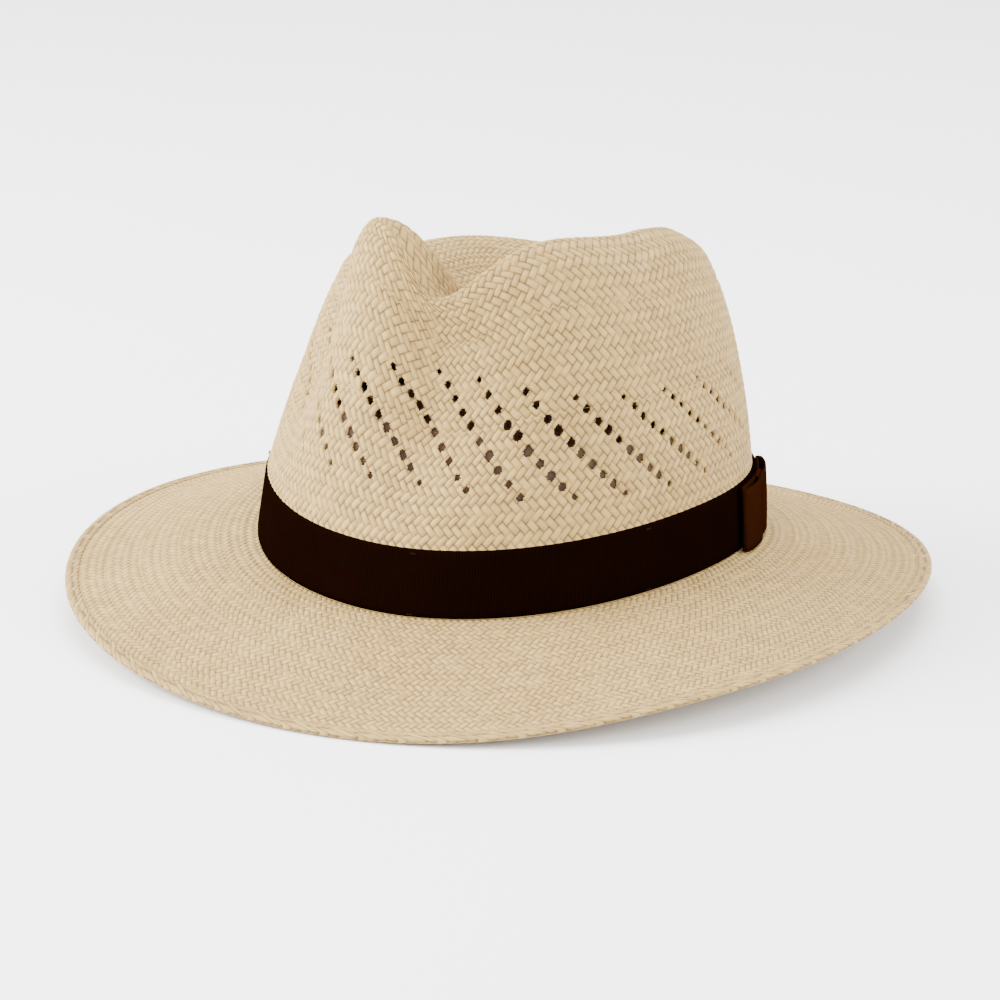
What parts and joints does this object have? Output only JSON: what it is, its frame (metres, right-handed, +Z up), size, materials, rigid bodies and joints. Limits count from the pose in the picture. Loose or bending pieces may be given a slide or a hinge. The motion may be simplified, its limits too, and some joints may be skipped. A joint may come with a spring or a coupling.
{
  "type": "panama hat",
  "caption": "Pinch-front woven straw hat with a dented crown, wide saddle-curved brim, folded straw edge, ribbed dark hatband with a flat side bow, and a sewn sweatband.",
  "frame": {"origin": "on the ground under the middle of the hat's box, where the brim's lowest edge rests", "axes": "+Z up, -Y towards the front of the hat, +X towards the wearer's left"},
  "size_m": [0.311, 0.3486, 0.1614],
  "materials": {
    "straw": "woven toquilla straw, matt with a slight sheen",
    "ribbon": "dark brown ribbed grosgrain",
    "bow": "dark brown ribbed grosgrain",
    "thread": "matt sewing thread",
    "sweat_leather": "smooth tan leather",
    "reed": "cloth-covered piping",
    "sweat_thread": "pale sewing thread",
    "tag_paper": "blank woven tag"
  },
  "bodies": {
    "root": {"crown": "straw", "brim": "straw", "brim_edge": "straw", "hatband": "ribbon", "hatband_overlap": "ribbon", "bow_front_loop": "bow", "bow_back_loop": "bow", "bow_knot": "bow", "hatband_tacks": "thread", "sweatband": "sweat_leather", "sweatband_reed": "reed", "sweatband_stitches": "sweat_thread", "sweatband_seam_tape": "ribbon", "size_tag": "tag_paper"}
  },
  "joints": []
}
